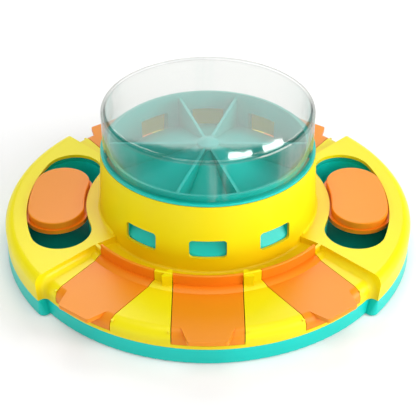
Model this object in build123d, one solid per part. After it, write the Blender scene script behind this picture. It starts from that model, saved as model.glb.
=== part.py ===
from build123d import *
import os
from math import cos, degrees, radians, sin, sqrt

# Puzzle feeder for a dog: a tray with treat pockets, a shell with six flaps and two
# sliders over it, and a turning food wheel under a clear lid. Millimetres, +Z up, the
# origin on the table under the middle, the front towards -Y. An azimuth is counted in
# degrees from the front towards +X.

# Plan of the tray and the shell
ring_radius = 134.1
side_radius = 140.2
tray_flare = 0.6
tray_end_low_offset = 8.2
step_low_offset = 13.0
step_top_offset = 15.2
tray_low_corner = 4.5
crisp_corner = 0.6
moat_end_azimuth = 54.5
moat_end_radius = 91.5
fit_gap = 0.3
press_gap = 0.02
overrun = 5.0

# Heights of the tray and the shell
foot_height = 0.6
tray_top = 11.5
ring_top = 23.4
plateau_top = 28.7
turret_top = 72.0
shell_wall = 2.4
rim_rounding = 6.5
plateau_rounding = 6.0
cove_radius = 4.0

# Turret
turret_top_radius = 72.5
turret_foot_radius = 75.3
turret_wall = 2.0
turret_blend = 1.6
turret_seam_radius = 78.5
window_width = 24.0
window_height = 13.0
window_low = 34.1
window_rounding = 2.5

# Raised collar between the flaps, and the ears beside the middle flaps
collar_inner_radius = 89.0
collar_thickness = 2.0
collar_top = 32.6
collar_foot = 25.0
collar_fillet_end = 97.0
collar_rounding = 0.7
ear_reach = 6.0
ear_tip_width = 2.3
ear_root_width = 6.4
ear_drop = 0.5

# Flaps
flap_azimuths = {
    "front_centre": 0,
    "front_right": 36,
    "front_left": -36,
    "back_centre": 180,
    "back_right": 144,
    "back_left": -144,
}
flap_half_width = 21.9
flap_side_gap = 0.5
flap_low = 14.4
flap_heel_radius = 84.8
slot_inner_radius = 82.5
tab_root_half_width = 15.3
tab_tip_half_width = 11.9
tab_root = 126.0
tab_tip = 140.4
tab_shoulder = 130.6
tab_thickness = 3.0
tab_rounding = 2.0
hinge_distance = 88.0
hinge_height = 19.5
barrel_radius = 3.0
pin_radius = 1.2
pin_running_gap = 0.06
cheek_thickness = 1.6

# Sliders and the kidney openings over their wells
kidney_radius = 105.0
kidney_half_width = 20.4
kidney_half_arc = 20.7
slider_half_arc = 8.4
slider_rest_turn = 0.9
slider_side_gap = 1.2
slider_top = 31.3
slider_rounding = 0.8
slider_wall = 2.2
flange_half_width = 21.9
flange_end_reach = 1.0
flange_thickness = 3.0
track_height = 22.6
well_half_width = 20.7
lip_half_width = 22.5
lip_thickness = 1.8
lip_lift = 3.4

# Tray
tray_floor = 2.4
tray_wall = 2.6
tray_bottom_rounding = 0.6
ridge_thickness = 1.6
ridge_height = 2.2
cup_inner = 95.0
cup_outer = 127.0
cup_half_width = 17.4
cup_wall = 1.6
cup_top = 17.5
cup_rounding = 5.0
support_radius = 77.0
support_thickness = 2.0
floor_rib_thickness = 1.6
floor_rib_height = 5.0
floor_rib_count = 6

# Bearing of the food wheel in the tray
spindle_radius = 6.0
spindle_running_gap = 0.06
bush_wall = 1.94
bush_flange_width = 3.0
bush_flange_thickness = 1.2
bush_top = 57.2
tube_wall = 2.0
gusset_reach = 24.0
gusset_height = 34.0
gusset_thickness = 2.0
washer_radius = 9.6
washer_thickness = 1.2
washer_recess_gap = 1.4
recess_depth = 6.0
recess_wall = 2.0
wheel_screw_head_radius = 3.5
wheel_screw_head_height = 2.2
wheel_screw_radius = 1.8
wheel_screw_length = 18.0
bore_overrun = 2.0

# Food wheel
wheel_flange_radius = 72.2
wheel_flange_thickness = 1.4
wheel_inner_radius = 66.0
neck_radius = 67.8
neck_top = 77.3
skirt_gap = 0.4
skirt_wall = 1.8
skirt_low = 33.0
bowl_floor_wall = 2.2
bowl_edge_height = 51.0
bowl_peak_height = 73.0
hub_radius = 7.3
hub_shoulder = 75.4
hub_top = 78.0
divider_azimuths = (18, 90, 162, 198, 270, 342)
divider_thickness = 2.0
divider_top = 74.2
chute_half_width = 11.4
chute_wall = 1.8
chute_lip_radius = 64.0
chute_lip_height = 52.0
chute_top = 63.5
chute_foot_height = 34.0
lug_depth = 0.6
lug_height = 1.2
lug_arc = 24
lug_azimuths = (71, 109, 251, 289)

# Clear lid
lid_radius = 70.5
lid_wall = 1.8
lid_top = 104.2
lid_rounding = 3.2
lid_seat_gap = 0.3
lid_rib_depth = 0.6
lid_rib_height = 1.4
lid_rib_lift = 1.2
lid_rib_arc = 18
lid_rib_azimuths = (26, 154, 206, 334)

# Screws between tray and shell, and the feet
ring_screw_radius = 118.0
ring_screw_azimuths = (18, 162, 198, 342)
side_screw_radius = 122.0
side_screw_azimuths = (57, 123, 237, 303)
screw_radius = 1.5
screw_head_radius = 3.0
screw_head_height = 2.0
screw_length = 8.5
screw_clearance = 0.3
boss_wall = 2.4
boss_parting = 12.0
head_recess = 4.0
head_recess_wall = 1.8
foot_radius = 5.0
foot_thickness = 2.0
foot_bevel = 0.4
inner_foot_radius = 121.0
inner_foot_azimuths = (0, 36, 144, 180, 216, 324)
side_foot_radius = 132.4
side_foot_azimuths = (78, 102, 258, 282)

# Sizes that follow from the ones above
floor_top = foot_height + tray_floor
flange_bottom = track_height + fit_gap
slider_half_width = kidney_half_width - slider_side_gap
slot_half_width = flap_half_width + flap_side_gap
lip_top = flap_low - fit_gap
wheel_flange_bottom = turret_top + fit_gap
wheel_flange_top = wheel_flange_bottom + wheel_flange_thickness
bush_bottom = foot_height + recess_depth
bush_radius = spindle_radius + spindle_running_gap + bush_wall
tube_bore = bush_radius + press_gap
spindle_bottom = bush_bottom - fit_gap
shoulder_height = bush_top + fit_gap


def outline(points):
    """Closed flat face through the points."""
    return make_face(Polyline(*points, close=True))


def rounded_outline(points, roundings):
    """Closed face whose corners, given by their index, are rounded."""
    face = outline(points)
    for index, radius in roundings.items():
        corner = face.vertices().sort_by_distance((*points[index], 0))[0]
        face = fillet(corner, radius)
    return face


def turned(face):
    """Body of revolution from a face of radius and height."""
    return revolve(Plane.XZ * face, Axis.Z)


def disc(radius, low, high):
    """Upright cylinder between two heights."""
    return Pos(0, 0, low) * extrude(Circle(radius), high - low)


def plate(sketch, low, high):
    """Flat sketch raised between two heights."""
    return Pos(0, 0, low) * extrude(sketch, high - low)


def at_azimuth(azimuth, shape):
    """Turns a shape that was made along +X to an azimuth."""
    return Rot(0, 0, azimuth - 90) * shape


def place(radius, azimuth):
    """Location at a radius and an azimuth."""
    return Pos(radius * sin(radians(azimuth)), -radius * cos(radians(azimuth)), 0)


def along_box(start, end, half_width, low, high):
    """Box along +X between two distances and two heights."""
    return Pos(start, 0, low) * Box(
        end - start,
        2 * half_width,
        high - low,
        align=(Align.MIN, Align.CENTER, Align.MIN),
    )


def pie(azimuth, arc, radius, low, high):
    """Wedge about the axis, centred on an azimuth."""
    half = radians(arc / 2)
    reach = radius / cos(half)
    corners = ((0, 0), (reach * cos(half), -reach * sin(half)), (reach * cos(half), reach * sin(half)))
    return at_azimuth(azimuth, plate(outline(corners), low, high))


# Plan shapes
def side_field(radius, end_offset, corner=0):
    """Right-hand field between two lines parallel to the diagonals."""
    apex = end_offset * sqrt(2)
    wedge = outline(((apex, 0), (apex + radius, -radius), (apex + radius, radius)))
    field = Circle(radius) & wedge
    if corner:
        field = fillet(field.vertices().sort_by(Axis.X)[1:], corner)
    return field


def between(low_face, low, high_face, high):
    """Straight-sided body between two flat faces at two heights."""
    return loft([Pos(0, 0, low) * low_face, Pos(0, 0, high) * high_face], ruled=True)


def both_sides(shape):
    """The shape and its mirror image across the middle."""
    return shape + mirror(shape, Plane.YZ)


def step_offset(height):
    """Distance of the side fields' slanted end walls from the diagonals at a height."""
    slope = (step_top_offset - step_low_offset) / (plateau_top - tray_top)
    return step_low_offset + slope * (height - tray_top)


def kidney(half_width, half_arc):
    """Arc-shaped slot about the axis on the right-hand side."""
    return SlotArc(CenterArc((0, 0), kidney_radius, -half_arc, 2 * half_arc), 2 * half_width)


def turret_radius(height):
    """Outer radius of the tapered turret at a height."""
    slope = (turret_foot_radius - turret_top_radius) / (turret_top - ring_top)
    return turret_top_radius + slope * (turret_top - height)


def skirt_radius(height):
    """Outer radius of the wheel inside the turret at a height."""
    return turret_radius(height) - turret_wall - skirt_gap


# Profiles that the shell and the flaps share
def skin_face(inner, low):
    """Section of the ring's skin from an inner radius over the rim to a lower edge."""
    inside = ring_radius - shell_wall
    underside = ring_top - shell_wall
    points = (
        (inner, underside),
        (inner, ring_top),
        (ring_radius, ring_top),
        (ring_radius, low),
        (inside, low),
        (inside, underside),
    )
    return rounded_outline(points, {2: rim_rounding, 5: rim_rounding - shell_wall})


def collar_face():
    """Section of the raised collar with its hollow foot."""
    outer = collar_inner_radius + collar_thickness
    underside = ring_top - shell_wall
    run = collar_fillet_end - outer
    rise = collar_foot - ring_top
    sweep_radius = (run**2 + rise**2) / (2 * rise)
    foot = RadiusArc((outer, collar_foot), (collar_fillet_end, ring_top), sweep_radius)
    rest = Polyline(
        (collar_fillet_end, ring_top),
        (collar_fillet_end, underside),
        (collar_inner_radius, underside),
        (collar_inner_radius, collar_top),
        (outer, collar_top),
        (outer, collar_foot),
    )
    face = make_face(foot.edges() + rest.edges())
    return fillet(face.vertices().group_by(Axis.Y)[-1], collar_rounding)


# Tray
def stepped_plan(inset, end_offset):
    """Round plan with the two wider side fields, drawn in by an inset."""
    return Circle(ring_radius - inset) + both_sides(side_field(side_radius - inset, end_offset + inset))


def tray_form():
    """Solid form of the tray, wider and rounder towards its lower edge."""
    round_part = between(Circle(ring_radius + tray_flare), foot_height, Circle(ring_radius), tray_top)
    low = side_field(side_radius + tray_flare, tray_end_low_offset, tray_low_corner)
    high = side_field(side_radius, step_low_offset, crisp_corner)
    form = round_part + both_sides(between(low, foot_height, high, tray_top))
    return fillet(form.edges().group_by(Axis.Z)[0], tray_bottom_rounding)


def slider_well():
    """Wall of the well under one slider, with the ledge and lip that guide it."""
    outer = kidney(lip_half_width + lip_thickness, kidney_half_arc)
    wall = plate(outer, floor_top, track_height + lip_lift)
    wall -= plate(kidney(lip_half_width, kidney_half_arc), track_height, plateau_top)
    slim = outer - kidney(well_half_width + lip_thickness, kidney_half_arc)
    wall -= plate(slim, floor_top, track_height - lip_thickness)
    return wall - plate(kidney(well_half_width, kidney_half_arc), 0, plateau_top)


def treat_cup():
    """Walls of the pocket under one flap."""
    half_width = cup_half_width + cup_wall
    length = cup_outer - cup_inner
    middle = (cup_outer + cup_inner) / 2
    outside = RectangleRounded(length + 2 * cup_wall, 2 * half_width, cup_rounding + cup_wall)
    inside = RectangleRounded(length, 2 * cup_half_width, cup_rounding)
    return Pos(middle, 0, 0) * plate(outside - inside, floor_top, cup_top)


def treat_cups():
    """Pockets under all the flaps."""
    cup = treat_cup()
    return Compound([at_azimuth(azimuth, cup) for azimuth in flap_azimuths.values()])


def wheel_post():
    """Upright tube for the bush with gussets, floor ribs and a recess for the washer."""
    outer = tube_bore + tube_wall
    recess_radius = washer_radius + washer_recess_gap
    top = bush_top - bush_flange_thickness
    post = disc(recess_radius + recess_wall, floor_top, bush_bottom + recess_wall)
    post += disc(outer, bush_bottom, top)
    gusset = outline(
        (
            (outer - tube_wall / 2, floor_top),
            (outer + gusset_reach, floor_top),
            (outer + gusset_reach, floor_top + floor_rib_height),
            (outer - tube_wall / 2, floor_top + gusset_height),
        )
    )
    rib = extrude(Plane.XZ * gusset, gusset_thickness / 2, both=True)
    floor_rib = along_box(
        outer, support_radius - fit_gap, floor_rib_thickness / 2, floor_top, floor_top + floor_rib_height
    )
    for index in range(floor_rib_count):
        post += at_azimuth(index * 360 / floor_rib_count, rib + floor_rib)
    post -= disc(recess_radius, 0, bush_bottom)
    return post - disc(tube_bore, 0, top + overrun)


def support_ring():
    """Ring on the tray's floor that carries the shell around the turret."""
    ring = Circle(support_radius + support_thickness) - Circle(support_radius)
    return plate(ring, floor_top, ring_top - shell_wall - fit_gap)


def screw_places():
    """Locations of all the screws between tray and shell."""
    ring = [place(ring_screw_radius, azimuth) for azimuth in ring_screw_azimuths]
    return ring + [place(side_screw_radius, azimuth) for azimuth in side_screw_azimuths]


def foot_places():
    """Locations of all the feet."""
    inner = [place(inner_foot_radius, azimuth) for azimuth in inner_foot_azimuths]
    return inner + [place(side_foot_radius, azimuth) for azimuth in side_foot_azimuths]


def screw_hole():
    """Recess and hole for one screw from below."""
    hole = disc(screw_head_radius + screw_clearance, 0, foot_height + head_recess)
    return hole + disc(screw_radius + screw_clearance, 0, boss_parting)


def screw_posts():
    """Posts on the tray's floor that the shell's bosses stand on."""
    head_radius = screw_head_radius + screw_clearance
    post = disc(head_radius + head_recess_wall, floor_top, foot_height + head_recess + tray_floor)
    post += disc(screw_radius + boss_wall, floor_top, boss_parting - fit_gap)
    post -= screw_hole()
    return Compound([spot * post for spot in screw_places()])


def base_tray():
    """Stepped tray with its rim, its locating ridge and the holes in its floor."""
    tray = tray_form() - plate(stepped_plan(tray_wall, step_low_offset), floor_top, tray_top)
    inset = shell_wall + fit_gap
    ridge_top = tray_top + ridge_height
    ridge = stepped_plan(inset, step_offset(ridge_top))
    ridge -= stepped_plan(inset + ridge_thickness, step_offset(ridge_top))
    tray += plate(ridge, floor_top - tray_floor / 2, ridge_top)
    tray -= disc(washer_radius + washer_recess_gap, 0, floor_top)
    hole = screw_hole()
    for spot in screw_places():
        tray -= spot * hole
    pocket = disc(foot_radius + press_gap, 0, foot_thickness)
    for spot in foot_places():
        tray -= spot * pocket
    return tray


# Shell
def raised_field(inset, low):
    """Right-hand raised field with a rounded rim, drawn in by an inset."""
    top = plateau_top - inset
    low_plan = side_field(side_radius - inset, step_offset(low) + inset)
    high_plan = side_field(side_radius - inset, step_offset(top) + inset)
    field = between(low_plan, low, high_plan, top)
    rim = field.faces().sort_by(Axis.Z)[-1].edges().filter_by(GeomType.CIRCLE)
    return fillet(rim, plateau_rounding - inset)


def ring_form(inset, low):
    """Round part of the shell with a rounded rim, drawn in by an inset."""
    radius = ring_radius - inset
    top = ring_top - inset
    corners = ((0, low), (radius, low), (radius, top), (0, top))
    return turned(rounded_outline(corners, {2: rim_rounding - inset}))


def is_step_foot(edge):
    """Whether an edge lies where a field's end wall stands on the ring."""
    middle = edge @ 0.5
    offset = (abs(middle.X) - abs(middle.Y)) / sqrt(2)
    on_wall = abs(offset - step_offset(middle.Z)) < press_gap
    outside = sqrt(middle.X**2 + middle.Y**2) < ring_radius + press_gap
    return on_wall and outside and tray_top + press_gap < middle.Z < ring_top + press_gap


def moat_end():
    """Blocks that carry the side fields inwards to the turret."""
    east = moat_end_radius * sin(radians(moat_end_azimuth))
    south = moat_end_radius * cos(radians(moat_end_azimuth))
    plan = outline(((0, 0), (east, -south), (east, south)))
    return both_sides(plate(plan, ring_top - shell_wall, plateau_top))


def shell_form():
    """Solid outer form of the shell with coves between the ring and the side fields."""
    form = ring_form(0, tray_top) + both_sides(raised_field(0, tray_top))
    coves = form.edges().filter_by(is_step_foot)
    return fillet(coves, cove_radius) + moat_end()


def turret_inside():
    """Space inside the turret and under it."""
    under = ring_top - shell_wall
    points = (
        (0, 0),
        (turret_radius(under) - turret_wall, 0),
        (turret_radius(under) - turret_wall, under),
        (turret_top_radius - turret_wall, turret_top),
        (0, turret_top),
    )
    return turned(outline(points))


def turret_wall_body():
    """Tapered wall of the turret with a hollow blend at its foot."""
    under = ring_top - shell_wall
    points = (
        (turret_radius(under) - turret_wall, under),
        (turret_radius(under), under),
        (turret_top_radius, turret_top),
        (turret_top_radius - turret_wall, turret_top),
    )
    return turned(outline(points))


def turret_foot(height):
    """Ring with a hollow section that blends the turret into a floor."""
    inner = turret_radius(height + turret_blend) - turret_wall / 2
    middle = turret_radius(height) + turret_blend
    low = height - shell_wall / 2
    centre_height = height + turret_blend
    bend = turret_blend * sqrt(1 / 2)
    arc = ThreePointArc(
        (middle, height),
        (middle - bend, centre_height - bend),
        (turret_radius(centre_height), centre_height),
    )
    rest = Polyline(
        (turret_radius(centre_height), centre_height),
        (inner, centre_height),
        (inner, low),
        (middle, low),
        (middle, height),
    )
    return turned(make_face(arc.edges() + rest.edges()))


def window():
    """Rounded opening through the turret wall along +X."""
    sketch = Plane.YZ * RectangleRounded(window_width, window_height, window_rounding)
    middle = window_low + window_height / 2
    reach = turret_foot_radius + overrun
    return Pos(reach / 2, 0, middle) * extrude(sketch, reach / 2)


def flap_slot():
    """Space that one flap takes in the shell, along +X."""
    reach = side_radius + overrun
    slot = along_box(0, reach, slot_half_width, lip_top, collar_top + overrun)
    return slot - disc(slot_inner_radius, 0, turret_top)


def cheeks():
    """Two walls beside a slot that carry the flap's hinge pin, along +X."""
    outer = slot_half_width + cheek_thickness
    under = ring_top - shell_wall / 2
    wall = along_box(0, side_radius, outer, lip_top, under)
    wall -= along_box(0, side_radius, slot_half_width, lip_top, under)
    wall &= disc(ring_radius - shell_wall / 2, 0, turret_top)
    return wall - disc(slot_inner_radius, 0, turret_top)


def ears():
    """Two gussets behind the collar beside a middle slot, along +X."""
    inner = slot_half_width
    root = collar_inner_radius + collar_thickness / 2
    tip = collar_inner_radius - ear_reach
    sketch = outline(
        (
            (root, inner),
            (tip, inner),
            (tip, inner + ear_tip_width),
            (collar_inner_radius, inner + ear_root_width),
            (root, inner + ear_root_width),
        )
    )
    ear = plate(sketch, ring_top - shell_wall, collar_top - ear_drop)
    return ear + mirror(ear, Plane.XZ)


def collar_segments():
    """Pieces of raised collar between the slots and from the outer slots to the side fields."""
    collar = turned(collar_face())
    pitch = flap_azimuths["front_right"] / 2
    pieces = []
    for azimuth in (pitch, 180 - pitch, 180 + pitch, -pitch):
        pieces.append(collar & pie(azimuth, pitch, side_radius, 0, turret_top))
    outer = flap_azimuths["front_right"]
    middle = (outer + moat_end_azimuth) / 2
    for azimuth in (middle, 180 - middle, 180 + middle, -middle):
        pieces.append(collar & pie(azimuth, moat_end_azimuth - outer, side_radius, 0, plateau_top))
    return pieces


def screw_boss(low, high):
    """Blind boss of the shell for one screw."""
    pilot = screw_radius + press_gap
    boss = disc(screw_radius + boss_wall, low, high)
    return boss - disc(pilot, 0, low + screw_length)


def whole_shell():
    """Shell with turret, slots, kidney openings and bosses in one body."""
    shell = shell_form()
    shell -= ring_form(shell_wall, 0) + both_sides(raised_field(shell_wall, 0))
    shell += turret_foot(ring_top)
    flat_part = side_field(side_radius, step_top_offset)
    shell += turret_foot(plateau_top) & both_sides(plate(flat_part, ring_top, turret_top))
    for piece in collar_segments():
        shell += piece
    for azimuth in (flap_azimuths["front_centre"], flap_azimuths["back_centre"]):
        shell += at_azimuth(azimuth, ears())
    shell += turret_wall_body()
    shell -= turret_inside()
    slot = flap_slot()
    opening = window()
    walls = cheeks()
    pin_hole = Pos(hinge_distance, 0, hinge_height) * Rot(90, 0, 0) * Cylinder(
        pin_radius + press_gap, 2 * (slot_half_width + cheek_thickness) + press_gap
    )
    for azimuth in flap_azimuths.values():
        shell -= at_azimuth(azimuth, slot)
        shell -= at_azimuth(azimuth, opening)
        shell += at_azimuth(azimuth, walls)
    for azimuth in flap_azimuths.values():
        shell -= at_azimuth(azimuth, pin_hole)
    ceiling = plateau_top - shell_wall
    shell -= both_sides(plate(kidney(kidney_half_width, kidney_half_arc), ceiling - fit_gap, slider_top))
    for azimuth in ring_screw_azimuths:
        shell += place(ring_screw_radius, azimuth) * screw_boss(boss_parting, ring_top - shell_wall / 2)
    for azimuth in side_screw_azimuths:
        boss = screw_boss(boss_parting, plateau_top - shell_wall / 2)
        shell += place(side_screw_radius, azimuth) * boss
    return shell


# Flaps and their pins
def flap():
    """One flap with collar, down-turned end, finger tab and hinge barrel, along +X."""
    body = turned(skin_face(flap_heel_radius, flap_low)) + turned(collar_face())
    body &= along_box(0, side_radius, flap_half_width, 0, turret_top)
    slope = (tab_root_half_width - tab_tip_half_width) / (tab_tip - tab_shoulder)
    root_half_width = tab_root_half_width + slope * (tab_shoulder - tab_root)
    tab = rounded_outline(
        (
            (tab_root, -root_half_width),
            (tab_tip, -tab_tip_half_width),
            (tab_tip, tab_tip_half_width),
            (tab_root, root_half_width),
        ),
        {1: tab_rounding, 2: tab_rounding},
    )
    body += plate(tab, ring_top - tab_thickness, ring_top)
    axis = Pos(hinge_distance, 0, hinge_height) * Rot(90, 0, 0)
    body += axis * Cylinder(barrel_radius, 2 * flap_half_width)
    return body - axis * Cylinder(pin_radius + pin_running_gap, 2 * slot_half_width)


def hinge_pin():
    """Plain pin through a flap and the two cheeks, along +X."""
    length = 2 * (slot_half_width + cheek_thickness)
    return Pos(hinge_distance, 0, hinge_height) * Rot(90, 0, 0) * Cylinder(pin_radius, length)


# Sliders
def slider():
    """Hollow button with a flange that runs on the well's ledge."""
    flange_top = flange_bottom + flange_thickness
    body = plate(kidney(slider_half_width, slider_half_arc), flange_bottom, slider_top)
    body = fillet(body.faces().sort_by(Axis.Z)[-1].edges(), slider_rounding)
    surplus = flange_half_width - slider_half_width - flange_end_reach
    flange_half_arc = slider_half_arc - degrees(surplus / kidney_radius)
    body += plate(kidney(flange_half_width, flange_half_arc), flange_bottom, flange_top)
    hollow = kidney(slider_half_width - slider_wall, slider_half_arc)
    body -= plate(hollow, flange_bottom - overrun, slider_top - slider_wall)
    return Rot(0, 0, slider_rest_turn) * body


# Food wheel and its bearing
def bowl_height(radius):
    """Height of the conical floor at a radius."""
    fall = (bowl_peak_height - bowl_edge_height) / (wheel_inner_radius - hub_radius)
    return bowl_peak_height - fall * (radius - hub_radius)


def wheel_drum():
    """Conical floor, wall, flange and neck in one body."""
    low = bowl_edge_height - bowl_floor_wall
    floor_edge = wheel_inner_radius + skirt_wall / 2
    floor = outline(
        (
            (0, bowl_height(0)),
            (floor_edge, bowl_height(floor_edge)),
            (floor_edge, bowl_height(floor_edge) - bowl_floor_wall),
            (0, bowl_height(0) - bowl_floor_wall),
        )
    )
    wall = outline(
        (
            (wheel_inner_radius, low),
            (skirt_radius(low), low),
            (skirt_radius(wheel_flange_bottom), wheel_flange_bottom),
            (wheel_flange_radius, wheel_flange_bottom),
            (wheel_flange_radius, wheel_flange_top),
            (neck_radius, wheel_flange_top),
            (neck_radius, neck_top),
            (wheel_inner_radius, neck_top),
        )
    )
    return turned(floor) + turned(wall)


def lower_skirt():
    """Tapered skirt of the wheel below its floor, inside the turret."""
    top = bowl_edge_height - bowl_floor_wall + skirt_wall
    section = outline(
        (
            (skirt_radius(skirt_low) - skirt_wall, skirt_low),
            (skirt_radius(skirt_low), skirt_low),
            (skirt_radius(top), top),
            (skirt_radius(top) - skirt_wall, top),
        )
    )
    return turned(section)


def hub():
    """Domed hub, shoulder and spindle with its screw bore."""
    shoulder_radius = bush_radius + bush_flange_width
    rise = hub_top - hub_shoulder
    dome_radius = (hub_radius**2 + rise**2) / (2 * rise)
    dome = disc(hub_radius, shoulder_height, hub_top)
    dome &= Pos(0, 0, hub_top - dome_radius) * Sphere(dome_radius)
    body = dome + disc(hub_radius, shoulder_height, hub_shoulder)
    body += disc(shoulder_radius, shoulder_height, bowl_height(shoulder_radius) - bowl_floor_wall / 2)
    return body + disc(spindle_radius, spindle_bottom, bowl_peak_height)


def divider():
    """Upright wall between two compartments, along +X."""
    inner = hub_radius - divider_thickness / 2
    outer = wheel_inner_radius + skirt_wall / 2
    face = outline(
        (
            (inner, bowl_height(inner) - bowl_floor_wall / 2),
            (outer, bowl_height(outer) - bowl_floor_wall / 2),
            (outer, divider_top),
            (inner, divider_top),
        )
    )
    return extrude(Plane.XZ * face, divider_thickness / 2, both=True)


def chute_passage():
    """Way of the food from a compartment down to the turret window, along +X."""
    foot = skirt_radius(chute_foot_height)
    reach = foot + overrun
    face = outline(
        (
            (chute_lip_radius, chute_lip_height),
            (foot, chute_foot_height),
            (reach, chute_foot_height),
            (reach, chute_top),
            (chute_lip_radius, chute_top),
        )
    )
    return extrude(Plane.XZ * face, chute_half_width, both=True)


def chute_body():
    """Ramp and side walls of one chute before its passage is cut, along +X."""
    foot = skirt_radius(chute_foot_height)
    face = outline(
        (
            (chute_lip_radius - chute_wall, chute_lip_height - chute_wall),
            (foot - chute_wall, skirt_low),
            (foot - chute_wall / 2, skirt_low),
            (skirt_radius(chute_lip_height) - skirt_wall / 2, chute_lip_height - chute_wall),
        )
    )
    return extrude(Plane.XZ * face, chute_half_width + chute_wall, both=True)


def locking_lugs():
    """Raised marks around the neck that hold the lid."""
    band = disc(neck_radius + lug_depth, neck_top - lug_height, neck_top)
    band -= disc(neck_radius - lug_depth, neck_top - lug_height, neck_top)
    return [band & pie(azimuth, lug_arc, side_radius, 0, lid_top) for azimuth in lug_azimuths]


def all_passages():
    """Ways of the food from all the compartments."""
    passage = chute_passage()
    return [at_azimuth(azimuth, passage) for azimuth in flap_azimuths.values()]


def food_wheel():
    """Turning bowl with a conical floor, windows in its wall, a flange and a neck."""
    wheel = wheel_drum()
    for lug in locking_lugs():
        wheel += lug
    for passage in all_passages():
        wheel -= passage
    return wheel - disc(hub_radius, shoulder_height, lid_top)


def wheel_hub(bowl):
    """Domed hub and spindle, trimmed to the bowl that they carry."""
    bore_length = wheel_screw_length + bore_overrun
    return hub() - bowl - disc(wheel_screw_radius + press_gap, 0, spindle_bottom + bore_length)


def wheel_dividers(bowl, core):
    """Upright walls between the compartments, trimmed to bowl and hub."""
    wall = divider()
    walls = [at_azimuth(azimuth, wall) - bowl - core for azimuth in divider_azimuths]
    return Compound([piece.solids().sort_by(SortBy.VOLUME)[-1] for piece in walls])


def wheel_chutes(bowl):
    """Skirt under the bowl with the six chutes, trimmed to the bowl."""
    chutes = lower_skirt()
    body = chute_body()
    for azimuth in flap_azimuths.values():
        chutes += at_azimuth(azimuth, body)
    for passage in all_passages():
        chutes -= passage
    return chutes - bowl


def wheel_bush():
    """Flanged bush in the tray's tube."""
    body = disc(bush_radius, bush_bottom, bush_top)
    body += disc(bush_radius + bush_flange_width, bush_top - bush_flange_thickness, bush_top)
    return body - disc(spindle_radius + spindle_running_gap, 0, bush_top)


def wheel_washer():
    """Washer under the spindle that keeps the wheel in the tray."""
    body = disc(washer_radius, spindle_bottom - washer_thickness, spindle_bottom)
    return body - disc(wheel_screw_radius + press_gap, 0, spindle_bottom)


def wheel_screw():
    """Screw into the lower end of the spindle."""
    seat = spindle_bottom - washer_thickness
    head = disc(wheel_screw_head_radius, seat - wheel_screw_head_height, seat)
    return head + disc(wheel_screw_radius, seat, seat + wheel_screw_length)


# Lid
def clear_lid():
    """Clear cap with a rounded shoulder and locking ribs near its edge."""
    low = wheel_flange_top + lid_seat_gap
    inner = lid_radius - lid_wall
    inner_top = lid_top - lid_wall
    outer_corners = ((0, low), (lid_radius, low), (lid_radius, lid_top), (0, lid_top))
    inner_corners = ((0, low), (inner, low), (inner, inner_top), (0, inner_top))
    outside = rounded_outline(outer_corners, {2: lid_rounding})
    inside = rounded_outline(inner_corners, {2: lid_rounding - lid_wall})
    lid = turned(outside - inside)
    rib_low = low + lid_rib_lift - lid_seat_gap
    rib = disc(inner + lid_rib_depth, rib_low, rib_low + lid_rib_height)
    rib -= disc(inner - lid_rib_depth + lid_seat_gap / 2, rib_low, rib_low + lid_rib_height)
    for azimuth in lid_rib_azimuths:
        lid += rib & pie(azimuth, lid_rib_arc, side_radius, 0, lid_top)
    return lid


# Fasteners and feet
def shell_screws():
    """All the screws that hold the shell on the tray."""
    seat = foot_height + head_recess
    screw = disc(screw_head_radius, seat - screw_head_height, seat)
    screw += disc(screw_radius, seat, boss_parting + screw_length - bore_overrun)
    return Compound([spot * screw for spot in screw_places()])


def rubber_feet():
    """Round pads in the tray's underside."""
    pad = disc(foot_radius, 0, foot_thickness)
    pad = chamfer(pad.edges().group_by(Axis.Z)[0], foot_bevel)
    return Compound([spot * pad for spot in foot_places()])


def shell_pieces():
    """Shell parted at its seam around the turret."""
    shell = whole_shell()
    core = disc(turret_seam_radius, 0, lid_top)
    return {"upper_shell": shell - core, "turret": shell & core}


def wheel_pieces():
    """Food wheel with its hub, dividers and chutes."""
    bowl = food_wheel()
    core = wheel_hub(bowl)
    return {
        "food_wheel": bowl,
        "wheel_hub": core,
        "wheel_dividers": wheel_dividers(bowl, core),
        "wheel_chutes": wheel_chutes(bowl),
    }


def tray_pieces():
    """Tray with everything that stands on its floor."""
    return {
        "base_tray": base_tray(),
        "treat_cups": treat_cups(),
        "slider_well_right": slider_well(),
        "slider_well_left": mirror(slider_well(), Plane.YZ),
        "wheel_post": wheel_post(),
        "support_ring": support_ring(),
        "screw_posts": screw_posts(),
    }


def build_pieces():
    """All pieces by node name."""
    pieces = {
        **tray_pieces(),
        **shell_pieces(),
        **wheel_pieces(),
        "wheel_bush": wheel_bush(),
        "wheel_washer": wheel_washer(),
        "wheel_screw": wheel_screw(),
        "clear_lid": clear_lid(),
        "slider_right": slider(),
        "slider_left": mirror(slider(), Plane.YZ),
        "shell_screws": shell_screws(),
        "rubber_feet": rubber_feet(),
    }
    single_flap = flap()
    single_pin = hinge_pin()
    for name, azimuth in flap_azimuths.items():
        pieces[f"flap_{name}"] = at_azimuth(azimuth, single_flap)
        pieces[f"hinge_pin_{name}"] = at_azimuth(azimuth, single_pin)
    return pieces


os.makedirs("parts", exist_ok=True)
for piece_name, piece in build_pieces().items():
    export_step(piece, f"parts/{piece_name}.step")
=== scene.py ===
"""A puzzle feeder for dogs: a teal tray, a yellow shell with orange flaps and sliders,
a turning food wheel and a clear lid, on a plain pale floor. Lengths are in metres."""

import logging
from dataclasses import dataclass
from enum import Enum
from math import cos, pi, radians, sin
from typing import Any, Optional, Union

import bpy
import numpy as np
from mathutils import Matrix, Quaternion, Vector


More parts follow.
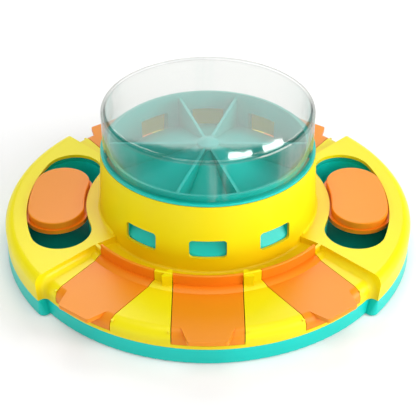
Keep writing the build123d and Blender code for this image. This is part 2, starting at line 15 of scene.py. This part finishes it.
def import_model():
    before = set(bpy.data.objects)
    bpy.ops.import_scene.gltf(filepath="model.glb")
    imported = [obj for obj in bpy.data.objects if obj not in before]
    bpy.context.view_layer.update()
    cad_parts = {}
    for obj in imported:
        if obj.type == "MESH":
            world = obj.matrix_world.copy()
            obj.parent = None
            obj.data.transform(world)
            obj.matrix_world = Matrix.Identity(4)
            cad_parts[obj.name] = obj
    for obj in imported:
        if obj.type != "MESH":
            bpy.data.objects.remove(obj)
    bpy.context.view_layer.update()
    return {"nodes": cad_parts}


LOG = logging.getLogger("feeder")
MEAN = 0.5  # mean level of the noise
WHITE = (1.0, 1.0, 1.0)

# The sockets of Blender's Mix node that hold colours, which share their names with others.
MIX_SHARE, MIX_FIRST, MIX_SECOND, MIX_RESULT = 0, 6, 7, 2

Number = Union[int, float]
Colour = tuple[float, float, float]
Point = tuple[float, float, float]

# Spots on the lid that lamps aim at; the two glints lie on its crown, right of the middle.
LID_MIDDLE = (0.0, 0.0, 0.1)
LOW_GLINT = (0.0190, -0.0633, 0.1042)
HIGH_GLINT = (0.0383, -0.0523, 0.1042)


class Signal:
    """A shader socket, or a plain number, that is reckoned with like a number."""

    def __init__(self, tree: bpy.types.NodeTree, socket: Any) -> None:
        """Keeps the tree and the socket."""
        self.tree = tree
        self.socket = socket

    def math(self, operation: str, *others: Any, clamp: bool = False) -> "Signal":
        """Runs a Math node on this signal.

        Args:
            operation: the node's operation.
            others: the other operands, as signals or numbers.
            clamp: whether the result is held between 0 and 1.

        Returns:
            The node's result.
        """
        node = self.tree.nodes.new("ShaderNodeMath")
        node.operation = operation
        node.use_clamp = clamp
        for index, value in enumerate((self, *others)):
            feed(self.tree, node.inputs[index], value)
        return Signal(self.tree, node.outputs[0])

    def __add__(self, other: Any) -> "Signal":
        """Sum of two signals."""
        return self.math("ADD", other)

    __radd__ = __add__

    def __sub__(self, other: Any) -> "Signal":
        """Difference of two signals."""
        return self.math("SUBTRACT", other)

    def __rsub__(self, other: Any) -> "Signal":
        """Difference of a number and a signal."""
        return Signal(self.tree, other).math("SUBTRACT", self)

    def __mul__(self, other: Any) -> "Signal":
        """Product of two signals."""
        return self.math("MULTIPLY", other)

    def __pow__(self, other: Any) -> "Signal":
        """Power of a signal."""
        return self.math("POWER", other)

    def below(self, limit: Number) -> "Signal":
        """1 where the signal is under the limit and 0 elsewhere."""
        return self.math("LESS_THAN", limit)

    def clamped(self) -> "Signal":
        """The signal held between 0 and 1."""
        return self.math("ADD", 0.0, clamp=True)


def feed(tree: bpy.types.NodeTree, target: Any, value: Any) -> None:
    """Sets a socket's value or links a signal to it.

    Args:
        tree: the node tree.
        target: the input socket.
        value: a signal, a number, a colour or a vector.
    """
    if isinstance(value, Signal):
        feed_signal(tree, target, value)
    elif isinstance(value, (int, float)):
        target.default_value = value
    else:
        target.default_value = (*value, 1.0)[: len(target.default_value)]


def feed_signal(tree: bpy.types.NodeTree, target: Any, signal: Signal) -> None:
    """Links a signal's socket, or sets the plain number that it holds.

    Args:
        tree: the node tree.
        target: the input socket.
        signal: the signal.
    """
    if isinstance(signal.socket, (int, float)):
        target.default_value = signal.socket
    else:
        tree.links.new(signal.socket, target)


class Bench:
    """A node tree with its output and one method that makes nodes."""

    def __init__(self, tree: bpy.types.NodeTree, output_kind: str) -> None:
        """Empties the tree and gives it an output.

        Args:
            tree: the tree of a material or of the world.
            output_kind: the type of its output node.
        """
        self.tree = tree
        self.tree.nodes.clear()
        self.output = self.tree.nodes.new(output_kind)

    def node(
        self,
        kind: str,
        settings: Optional[dict[str, Any]] = None,
        inputs: Optional[dict[Any, Any]] = None,
        result: Union[int, str] = 0,
    ) -> Signal:
        """Makes a node.

        Args:
            kind: the node's type.
            settings: attributes that are set first.
            inputs: values or signals by the input's name or number.
            result: the output's name or number.

        Returns:
            That output as a signal.
        """
        node = self.tree.nodes.new(kind)
        for key, value in (settings or {}).items():
            setattr(node, key, value)
        for key, value in (inputs or {}).items():
            feed(self.tree, node.inputs[key], value)
        return Signal(self.tree, node.outputs[result])

    def place(self) -> Signal:
        """The point on the object."""
        return self.node("ShaderNodeTexCoord", result="Object")

    def distance_out(self) -> Signal:
        """The point's distance from the middle in metres."""
        inputs = {0: self.place()}
        return self.node("ShaderNodeVectorMath", {"operation": "LENGTH"}, inputs, "Value")

    def stretched(self, across: Number, along: Number) -> Signal:
        """The point with its flat plan and its height scaled apart.

        Args:
            across: scale of x and y.
            along: scale of z.

        Returns:
            The scaled point.
        """
        scale = {"Vector": self.place(), "Scale": (across, across, along)}
        return self.node("ShaderNodeMapping", inputs=scale)

    def noise(
        self,
        scale: float,
        detail: float = 2.0,
        roughness: float = 0.5,
        point: Optional[Signal] = None,
    ) -> Signal:
        """Smooth noise over the object's own coordinates.

        Args:
            scale: waves to the metre.
            detail: finer layers added.
            roughness: weight of the finer layers.
            point: the point to read, or none for the object's own.

        Returns:
            The noise from 0 to 1.
        """
        values = {
            "Vector": point or self.place(),
            "Scale": scale,
            "Detail": detail,
            "Roughness": roughness,
        }
        return self.node("ShaderNodeTexNoise", inputs=values, result="Fac")

    def blend(self, share: Any, first: Any, second: Any) -> Signal:
        """Mixes two colours.

        Args:
            share: 0 gives the first and 1 the second.
            first: a colour or a signal.
            second: a colour or a signal.

        Returns:
            The mixed colour.
        """
        inputs = {MIX_SHARE: share, MIX_FIRST: first, MIX_SECOND: second}
        return self.node("ShaderNodeMix", {"data_type": "RGBA"}, inputs, MIX_RESULT)

    def bump(self, height: Signal, distance: float) -> Signal:
        """Normal of a surface whose height varies.

        Args:
            height: the height signal from 0 to 1.
            distance: the depth in metres.

        Returns:
            The changed normal.
        """
        return self.node("ShaderNodeBump", inputs={"Height": height, "Distance": distance})

    def principled(self, **values: Any) -> Signal:
        """A Principled shader; an underscore in a name stands for a space."""
        named = {key.replace("_", " "): value for key, value in values.items()}
        return self.node("ShaderNodeBsdfPrincipled", inputs=named)

    def close(self, shader: Signal) -> None:
        """Links the shader to the output."""
        self.tree.links.new(shader.socket, self.output.inputs["Surface"])


def new_material(name: str) -> tuple[bpy.types.Material, Bench]:
    """Starts a material.

    Args:
        name: its name.

    Returns:
        The material and the bench on its nodes.
    """
    material = bpy.data.materials.new(name)
    material.use_nodes = True
    return material, Bench(material.node_tree, "ShaderNodeOutputMaterial")


@dataclass(frozen=True)
class MouldedPlastic:
    """Glossy moulded plastic: a slow drift of its pigment and gloss and a very fine grain.

    In its nooks and creases the colour is mixed towards a deeper nook tint by ambient
    occlusion: painted shade and painted bounce light, standing in for the shade there and
    the light passed between the parts.
    """

    name: str
    colour: Colour
    shade: Colour
    painted_nook_shade: Colour
    painted_shade_reach: float = 0.022
    painted_shade_strength: float = 1.5
    painted_shade_most: float = 0.55
    roughness: float = 0.34
    roughness_drift: float = 0.10
    roughness_grain: float = 0.05
    specular: float = 0.30
    drift_waves: float = 14.0
    drift_detail: float = 3.0
    drift_contrast: float = 1.6
    grain_waves: float = 900.0
    grain_detail: float = 2.0
    grain_weight: float = 0.6
    grain_depth: float = 0.000010

    def build(self) -> bpy.types.Material:
        """Makes the material."""
        material, bench = new_material(self.name)
        drift = bench.noise(self.drift_waves, self.drift_detail) - MEAN
        grain = bench.noise(self.grain_waves, self.grain_detail, self.grain_weight)
        share = (drift * self.drift_contrast + MEAN).clamped()
        # Painted shade: ambient occlusion mixes the colour towards the nook tint in nooks and
        # creases.
        reach = {"Distance": self.painted_shade_reach}
        open_share = bench.node("ShaderNodeAmbientOcclusion", inputs=reach, result="AO")
        depth = ((1 - open_share) * self.painted_shade_strength).math("MINIMUM", self.painted_shade_most)
        pigment = bench.blend(depth, bench.blend(share, self.shade, self.colour), self.painted_nook_shade)
        speckle = (grain - MEAN) * self.roughness_grain
        rough = drift * self.roughness_drift + speckle + self.roughness
        bench.close(
            bench.principled(
                Base_Color=pigment,
                Roughness=rough.clamped(),
                Specular_IOR_Level=self.specular,
                Normal=bench.bump(grain, self.grain_depth),
            )
        )
        return material


@dataclass(frozen=True)
class ClearPlastic:
    """Thin clear plastic: seen through when faced, a mirror when seen edge-on.

    The mirrored share is straight + facing ** falloff, held to 1. The crown is polished,
    faint upright flow streaks of the moulding lie on the wall under it, and the bends
    between the two mirror more. The mirror's colour is darkened towards the edge colour
    where the plastic is seen edge-on and on the bends, which show as thin grey lines:
    painted shade.
    """

    name: str
    tint: Colour = (0.958, 0.964, 0.958)
    mirror: Colour = (0.92, 0.92, 0.90)
    # Painted shade: the dark colour that the mirror is mixed towards edge-on and on the bends.
    edge: Colour = (0.13, 0.125, 0.11)
    crown_share: float = 0.15
    wall_share: float = 0.006
    falloff: float = 4.0
    edge_shade_falloff: float = 4.0
    facing_blend: float = 0.5
    roughness: float = 0.03
    roughness_drift: float = 0.02
    ripple_waves: float = 60.0
    ripple_depth: float = 0.00002
    streak_waves: float = 190.0
    streak_detail: float = 2.0
    streak_weight: float = 0.7
    streak_squeeze: float = 0.02
    streak_floor: float = 0.42
    band_waves: float = 26.0
    band_detail: float = 1.0
    band_weight: float = 0.5
    band_floor: float = 0.52
    streak_contrast: float = 6.0
    streak_share: float = 0.20
    crown_slope: float = 0.9998
    bend_slope: float = 0.15
    bend_share: float = 0.16
    bend_shade: float = 0.8

    def build(self) -> bpy.types.Material:
        """Makes the material."""
        material, bench = new_material(self.name)
        ripple = bench.noise(self.ripple_waves)
        blend = {"Blend": self.facing_blend}
        facing = bench.node("ShaderNodeLayerWeight", inputs=blend, result="Facing")
        normal = bench.node("ShaderNodeNewGeometry", result="Normal")
        upward = bench.node("ShaderNodeSeparateXYZ", inputs={"Vector": normal}, result="Z")
        slope = upward.math("ABSOLUTE")
        wall = slope.below(self.crown_slope)
        bend = wall - slope.below(self.bend_slope)
        # Painted shade: the mirror's colour darkens towards the edge colour edge-on and on the
        # bends.
        dark = (facing**self.edge_shade_falloff).math("MAXIMUM", bend * self.bend_shade)
        mirror = bench.principled(
            Base_Color=bench.blend(dark, self.mirror, self.edge),
            Metallic=1.0,
            Roughness=((ripple - MEAN) * self.roughness_drift + self.roughness).clamped(),
            Normal=bench.bump(ripple, self.ripple_depth),
        )
        clear = bench.node("ShaderNodeBsdfTransparent", inputs={"Color": self.tint})
        upright = bench.stretched(1.0, self.streak_squeeze)
        fine = bench.noise(self.streak_waves, self.streak_detail, self.streak_weight, upright)
        wide = bench.noise(self.band_waves, self.band_detail, self.band_weight, upright)
        lines = ((fine - self.streak_floor) * self.streak_contrast).clamped()
        bands = ((wide - self.band_floor) * self.streak_contrast).clamped()
        straight = self.crown_share + wall * (self.wall_share - self.crown_share)
        share = facing**self.falloff + straight + wall * (lines * bands) * self.streak_share
        share = (share + bend * self.bend_share).clamped()
        bench.close(bench.node("ShaderNodeMixShader", inputs={0: share, 1: clear, 2: mirror}))
        return material


@dataclass(frozen=True)
class TurnedSteel:
    """Turned steel of the pins and screws, with fine scratches."""

    name: str
    bright: Colour = (0.62, 0.62, 0.63)
    dull: Colour = (0.45, 0.46, 0.47)
    scratch_waves: float = 1500.0
    scratch_detail: float = 1.0
    scratch_depth: float = 0.000005
    roughness: float = 0.25
    roughness_spread: float = 0.2

    def build(self) -> bpy.types.Material:
        """Makes the material."""
        material, bench = new_material(self.name)
        lines = bench.noise(self.scratch_waves, self.scratch_detail)
        bench.close(
            bench.principled(
                Base_Color=bench.blend(lines, self.dull, self.bright),
                Metallic=1.0,
                Roughness=(lines * self.roughness_spread + self.roughness).clamped(),
                Normal=bench.bump(lines, self.scratch_depth),
            )
        )
        return material


@dataclass(frozen=True)
class FootRubber:
    """Dull dark rubber with a fine grain."""

    name: str
    dark: Colour = (0.02, 0.02, 0.02)
    worn: Colour = (0.045, 0.045, 0.045)
    grain_waves: float = 2500.0
    grain_detail: float = 3.0
    grain_depth: float = 0.00003
    roughness: float = 0.65
    roughness_spread: float = 0.2

    def build(self) -> bpy.types.Material:
        """Makes the material."""
        material, bench = new_material(self.name)
        grain = bench.noise(self.grain_waves, self.grain_detail)
        bench.close(
            bench.principled(
                Base_Color=bench.blend(grain, self.dark, self.worn),
                Roughness=(grain * self.roughness_spread + self.roughness).clamped(),
                Normal=bench.bump(grain, self.grain_depth),
            )
        )
        return material


@dataclass(frozen=True)
class PaleStage:
    """Matt pale floor and backdrop, lighter to the eye than they light the feeder.

    What the eye sees gains near + far_gain * a + edge_gain * b, where a rises from 0 to 1
    outside the feeder and b from 0 to 1 towards the backdrop.
    """

    name: str
    pale: Colour = (0.88, 0.88, 0.88)
    mottled: Colour = (0.86, 0.86, 0.86)
    mottle_waves: float = 8.0
    roughness: float = 0.9
    specular: float = 0.1
    near: float = 0.10
    far_gain: float = 0.25
    far_start: float = 0.16
    far_width: float = 0.30
    edge_gain: float = 1.0
    edge_mirrored: float = 0.30
    edge_start: float = 0.9
    edge_width: float = 1.6

    def build(self) -> bpy.types.Material:
        """Makes the material."""
        material, bench = new_material(self.name)
        matt = bench.principled(
            Base_Color=bench.blend(bench.noise(self.mottle_waves), self.mottled, self.pale),
            Roughness=self.roughness,
            Specular_IOR_Level=self.specular,
        )
        away = bench.distance_out()
        far = ((away - self.far_start) * (1 / self.far_width)).clamped()
        edge = ((away - self.edge_start) * (1 / self.edge_width)).clamped()
        direct, mirrored = rays_seen(bench)
        outer = edge * (direct * self.edge_gain + mirrored * self.edge_mirrored)
        strength = direct.math("MAXIMUM", mirrored) * (far * self.far_gain + self.near) + outer
        glow = bench.node("ShaderNodeEmission", inputs={"Color": WHITE, "Strength": strength})
        bench.close(bench.node("ShaderNodeAddShader", inputs={0: matt, 1: glow}))
        return material


def rays_seen(bench: Bench) -> tuple[Signal, Signal]:
    """Tells what the eye sees from what only gives light.

    Args:
        bench: the bench of the tree that asks.

    Returns:
        1 for the eye, also through a clear piece, and 1 for what a mirror shows; else 0.
    """
    camera, gloss, through = (
        bench.node("ShaderNodeLightPath", result=ray)
        for ray in ("Is Camera Ray", "Is Glossy Ray", "Is Transmission Ray")
    )
    return camera.math("MAXIMUM", through), gloss


class Finish(Enum):
    """Every finish on the feeder."""

    # The third colour of each moulded plastic is its painted nook shade tint, used where ambient
    # occlusion finds nooks.
    YELLOW = MouldedPlastic(
        "yellow_plastic", (0.90, 0.79, 0.003), (0.87, 0.755, 0.002), (0.80, 0.46, 0.0)
    )
    TEAL = MouldedPlastic(
        "teal_plastic",
        (0.005, 0.63, 0.56),
        (0.004, 0.595, 0.525),
        (0.003, 0.42, 0.33),
        painted_shade_strength=0.8,
    )
    ORANGE = MouldedPlastic(
        "orange_plastic", (0.87, 0.285, 0.008), (0.83, 0.26, 0.006), (0.84, 0.15, 0.003)
    )
    BEARING = MouldedPlastic(
        "bearing_plastic",
        (0.70, 0.70, 0.68),
        (0.66, 0.66, 0.64),
        (0.55, 0.55, 0.53),
        roughness=0.5,
    )
    CLEAR = ClearPlastic("clear_plastic")
    STEEL = TurnedSteel("turned_steel")
    RUBBER = FootRubber("foot_rubber")


@dataclass
class SubAssembly:
    """Pieces of the frame that belong together and are dressed together."""

    nodes: dict[str, bpy.types.Object]
    materials: dict[Finish, bpy.types.Material]

    def dress(self, name: str, finish: Finish) -> None:
        """Gives one piece its finish.

        Args:
            name: the node's name.
            finish: what it is made of.
        """
        for slot in self.nodes[name].material_slots:
            slot.material = self.materials[finish]
        LOG.info("%s: %s", name, finish.name.lower())

    def build(self) -> None:
        """Dresses every piece of the sub-assembly."""
        for name, finish in self.pieces().items():
            self.dress(name, finish)

    def pieces(self) -> dict[str, Finish]:
        """The pieces and what each is made of."""
        raise NotImplementedError


@dataclass
class Tray(SubAssembly):
    """The tray with its cups, wells, posts and feet."""

    well_sides: tuple[str, ...] = ("right", "left")

    def pieces(self) -> dict[str, Finish]:
        """The pieces and what each is made of."""
        moulded = ["base_tray", "treat_cups", "wheel_post", "support_ring", "screw_posts"]
        moulded += [f"slider_well_{side}" for side in self.well_sides]
        return {name: Finish.TEAL for name in moulded} | {"rubber_feet": Finish.RUBBER}


@dataclass
class Shell(SubAssembly):
    """The shell with its turret and screws."""

    def pieces(self) -> dict[str, Finish]:
        """The pieces and what each is made of."""
        return {
            "upper_shell": Finish.YELLOW,
            "turret": Finish.YELLOW,
            "shell_screws": Finish.STEEL,
        }


@dataclass
class Flaps(SubAssembly):
    """The six flaps on their hinge pins."""

    places: tuple[str, ...] = (
        "front_centre",
        "front_right",
        "front_left",
        "back_centre",
        "back_right",
        "back_left",
    )

    def pieces(self) -> dict[str, Finish]:
        """The pieces and what each is made of."""
        flaps = {f"flap_{place}": Finish.ORANGE for place in self.places}
        return flaps | {f"hinge_pin_{place}": Finish.STEEL for place in self.places}


@dataclass
class Sliders(SubAssembly):
    """The two swinging covers over the wells."""

    sides: tuple[str, ...] = ("right", "left")

    def pieces(self) -> dict[str, Finish]:
        """The pieces and what each is made of."""
        return {f"slider_{side}": Finish.ORANGE for side in self.sides}


@dataclass
class FoodWheel(SubAssembly):
    """The turning wheel with its hub, dividers, chutes and bearing."""

    def pieces(self) -> dict[str, Finish]:
        """The pieces and what each is made of."""
        moulded = ("food_wheel", "wheel_hub", "wheel_dividers", "wheel_chutes")
        return {name: Finish.TEAL for name in moulded} | {
            "wheel_bush": Finish.BEARING,
            "wheel_washer": Finish.STEEL,
            "wheel_screw": Finish.STEEL,
        }


@dataclass
class Lid(SubAssembly):
    """The clear lid."""

    def pieces(self) -> dict[str, Finish]:
        """The pieces and what each is made of."""
        return {"clear_lid": Finish.CLEAR}


class Outline(Enum):
    """Shapes that a lamp can have."""

    SQUARE = "RECTANGLE"
    ROUND = "ELLIPSE"

    def fill(self) -> float:
        """Share of its width by height that the shape fills."""
        return 1.0 if self is Outline.SQUARE else pi / 4


@dataclass(frozen=True)
class Lamp:
    """A soft lamp that looks at the feeder from a bearing and a height angle.

    One that isn't mirrored gives light but doesn't show in the clear lid.
    """

    name: str
    bearing: float
    rise: float
    distance: float
    width: float
    height: float
    level: float
    outline: Outline = Outline.SQUARE
    roll: float = 0.0
    target: Point = (0.0, 0.0, 0.04)
    mirrored: bool = True

    def place(self) -> Vector:
        """Centre of the lamp: distance times the unit vector of bearing and rise."""
        turn, lift = radians(self.bearing), radians(self.rise)
        out = Vector((sin(turn) * cos(lift), -cos(turn) * cos(lift), sin(lift)))
        return Vector(self.target) + out * self.distance

    def hang(self) -> None:
        """Puts the lamp up; its power is level * pi * area, a round one's area being smaller."""
        data = bpy.data.lights.new(self.name, "AREA")
        data.shape = self.outline.value
        data.size, data.size_y = self.width, self.height
        data.energy = self.level * pi * self.width * self.height * self.outline.fill()
        lamp = bpy.data.objects.new(self.name, data)
        lamp.location = self.place()
        aim = Vector(self.target) - self.place()
        turn = Quaternion((0.0, 0.0, 1.0), radians(self.roll))
        lamp.rotation_euler = (aim.to_track_quat("-Z", "Y") @ turn).to_euler()
        lamp.visible_camera = False
        lamp.visible_glossy = self.mirrored
        bpy.context.scene.collection.objects.link(lamp)
        LOG.info("lamp %s", self.name)


@dataclass(frozen=True)
class Studio:
    """Camera, lamps, surroundings and floor."""

    camera_place: Point = (0.0, -0.5717, 0.4247)
    camera_tilt: float = 54.7513
    lens: float = 86.15
    sensor: float = 36.0
    near_limit: float = 0.01
    surroundings: float = 0.30
    surroundings_slope: float = 0.24
    floor_radius: float = 4.0
    bend_radius: float = 0.8
    backdrop_height: float = 1.4
    backdrop_sides: int = 96
    bend_steps: int = 12
    lamps: tuple[Lamp, ...] = (
        Lamp("key", 70.0, 16.0, 1.2, 0.8, 0.7, 6.0),
        Lamp("front", 18.0, 30.0, 1.3, 1.2, 0.8, 1.6, mirrored=False),
        Lamp("left", -78.0, 14.0, 1.2, 0.6, 0.5, 2.8, mirrored=False),
        Lamp("top", 0.0, 82.0, 1.2, 1.0, 0.8, 1.7),
        Lamp("back_disc", 180.0, 15.6, 1.6, 1.33, 1.0, 1.05, Outline.ROUND, target=LID_MIDDLE),
        Lamp("right_strip", 165.0, 44.0, 1.3, 0.34, 0.34, 6.5),
        Lamp("left_strip", -165.0, 44.0, 1.3, 0.34, 0.34, 6.5),
        Lamp("low_pane", 177.8, 32.2, 1.3, 0.045, 0.013, 6.0, roll=6.0, target=LOW_GLINT),
        Lamp("high_pane", 175.5, 31.6, 1.3, 0.040, 0.013, 6.0, roll=20.0, target=HIGH_GLINT),
    )

    def set_camera(self) -> None:
        """Puts the camera at the photograph's viewpoint."""
        data = bpy.data.cameras.new("camera")
        data.lens = self.lens
        data.sensor_width = self.sensor
        data.sensor_fit = "HORIZONTAL"
        data.clip_start = self.near_limit
        camera = bpy.data.objects.new("camera", data)
        camera.location = self.camera_place
        camera.rotation_euler = (radians(self.camera_tilt), 0.0, 0.0)
        bpy.context.scene.collection.objects.link(camera)
        bpy.context.scene.camera = camera

    def set_surroundings(self) -> None:
        """Soft light from all round, stronger from the front.

        Its strength is surroundings - surroundings_slope * y of the direction.
        """
        world = bpy.data.worlds.new("surroundings")
        world.use_nodes = True
        bench = Bench(world.node_tree, "ShaderNodeOutputWorld")
        direction = bench.node("ShaderNodeTexCoord", result="Generated")
        back = bench.node("ShaderNodeSeparateXYZ", inputs={"Vector": direction}, result="Y")
        strength = self.surroundings - back * self.surroundings_slope
        inputs = {"Color": WHITE, "Strength": strength}
        bench.close(bench.node("ShaderNodeBackground", inputs=inputs))
        bpy.context.scene.world = world

    def stage_profile(self) -> np.ndarray:
        """Radius and height of the stage's section, from the middle outwards.

        A flat floor runs to the bend, a quarter circle of the bend's radius turns it up,
        and a straight wall ends at the backdrop's height.

        Returns:
            An array of rows of radius and height.
        """
        turn = np.linspace(0.0, pi / 2, self.bend_steps)
        start = self.floor_radius - self.bend_radius
        out, up = np.sin(turn), 1 - np.cos(turn)
        bend = np.column_stack([start + self.bend_radius * out, self.bend_radius * up])
        floor = [[0.0, 0.0], [start / 2, 0.0]]
        return np.vstack([floor, bend, [[self.floor_radius, self.backdrop_height]]])

    def lay_stage(self) -> None:
        """A wide pale floor that keeps the feeder's shadow and turns up into a round backdrop.

        A point is (radius * sin a, -radius * cos a, height) for the angle a round the middle.
        """
        profile = self.stage_profile()
        angle = np.linspace(0.0, 2 * pi, self.backdrop_sides, endpoint=False)
        radius, height = profile[1:, 0], profile[1:, 1]
        grid = np.stack(
            [
                np.outer(radius, np.sin(angle)),
                -np.outer(radius, np.cos(angle)),
                np.outer(height, np.ones_like(angle)),
            ],
            axis=-1,
        )
        points = np.vstack([[[0.0, 0.0, 0.0]], grid.reshape(-1, 3)])
        row = np.arange(self.backdrop_sides)
        following = (row + 1) % self.backdrop_sides
        middle = np.column_stack([np.zeros_like(row), 1 + row, 1 + following])
        starts = 1 + np.arange(len(radius) - 1)[:, None] * self.backdrop_sides
        rings = np.stack(
            [
                starts + row,
                starts + row + self.backdrop_sides,
                starts + following + self.backdrop_sides,
                starts + following,
            ],
            axis=-1,
        ).reshape(-1, 4)
        mesh = bpy.data.meshes.new("stage")
        mesh.from_pydata(points.tolist(), [], middle.tolist() + rings.tolist())
        mesh.shade_smooth()
        stage = bpy.data.objects.new("stage", mesh)
        bpy.context.scene.collection.objects.link(stage)
        mesh.materials.append(PaleStage("pale_stage").build())

    def build(self) -> None:
        """Sets up the whole studio."""
        bpy.context.scene.view_settings.view_transform = "Standard"
        self.set_camera()
        self.set_surroundings()
        self.lay_stage()
        for lamp in self.lamps:
            lamp.hang()
        LOG.info("studio set")


def dress_all(nodes: dict[str, bpy.types.Object]) -> None:
    """Dresses every sub-assembly, from the floor up.

    Args:
        nodes: the frame's objects by name.
    """
    materials = {finish: finish.value.build() for finish in Finish}
    for kind in (Tray, Shell, Flaps, Sliders, FoodWheel, Lid):
        kind(nodes, materials).build()


def main() -> None:
    """Builds the feeder and its studio."""
    logging.basicConfig(level=logging.INFO, format="%(message)s")
    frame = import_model()
    Studio().build()
    dress_all(frame["nodes"])


if __name__ == "__main__":
    main()
